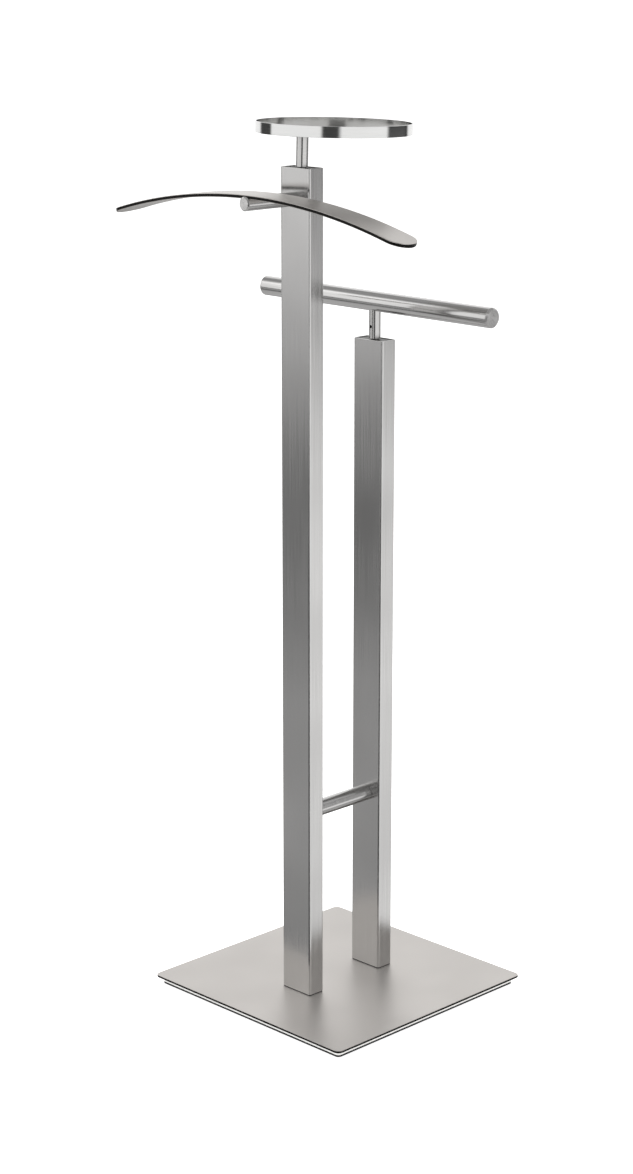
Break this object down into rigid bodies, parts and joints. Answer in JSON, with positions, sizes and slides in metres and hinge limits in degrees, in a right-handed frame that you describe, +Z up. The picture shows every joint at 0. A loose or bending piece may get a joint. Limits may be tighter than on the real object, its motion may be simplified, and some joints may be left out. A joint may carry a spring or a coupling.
{
  "type": "valet stand",
  "caption": "Valet stand with a weighted square base, a tall post with a curved coat hanger and a round tray, and a short post with a trouser bar.",
  "frame": {"origin": "middle of the mat's underside, on the floor", "axes": "+X along the trouser bar, -Y towards the hanger at the front, +Z up"},
  "size_m": [0.496, 0.34, 1.1219],
  "materials": {
    "brushed_posts": "stainless tube, brushed lengthwise",
    "brushed_rods": "stainless rod and tube, fine turned grain",
    "satin_plate": "satin stainless sheet, warm grey",
    "polished_band": "polished stainless band",
    "tray_sheet": "satin stainless sheet",
    "ballast_steel": "mild steel plate, painted light grey",
    "black_rubber": "matte black rubber",
    "fastener_steel": "plain stainless fasteners",
    "inner_steel": "as-machined steel"
  },
  "bodies": {
    "stand": {"base_plate": "satin_plate", "ballast_plate": "ballast_steel", "anti_slip_mat": "black_rubber", "foot_screws": "fastener_steel", "tall_post": "brushed_posts", "tall_foot_block": "inner_steel", "tall_foot_gasket": "black_rubber", "tall_plug": "inner_steel", "short_post": "brushed_posts", "short_foot_block": "inner_steel", "short_foot_gasket": "black_rubber", "short_plug": "inner_steel", "spacer_rod": "brushed_rods", "spacer_stud": "inner_steel", "spacer_nut": "inner_steel", "post_bolts": "fastener_steel", "post_bushes": "inner_steel", "hanger_arm": "brushed_rods", "hanger": "satin_plate", "hanger_screws": "fastener_steel", "tray_pin": "inner_steel", "bar_pin": "inner_steel"},
    "tray": {"tray_stem": "brushed_rods", "tray_grub_screw": "fastener_steel", "tray_flange": "inner_steel", "tray_floor": "tray_sheet", "tray_rim": "polished_band", "tray_washer": "fastener_steel", "tray_screw": "fastener_steel"},
    "bar": {"bar_stem": "brushed_rods", "bar_grub_screw": "fastener_steel", "trouser_bar": "brushed_rods", "bar_cap_left": "brushed_rods", "bar_cap_right": "brushed_rods"}
  },
  "joints": [
    {"name": "tray_swivel", "type": "hinge", "parent": "stand", "child": "tray", "pos_m": [0, -0.0635, 1.0688], "axis": [0, 0.0279, 0.9996], "continuous": true},
    {"name": "bar_swivel", "type": "hinge", "parent": "stand", "child": "bar", "pos_m": [0, 0.0635, 0.8478], "axis": [0, 0, 1], "range_deg": [-70, 70]}
  ]
}
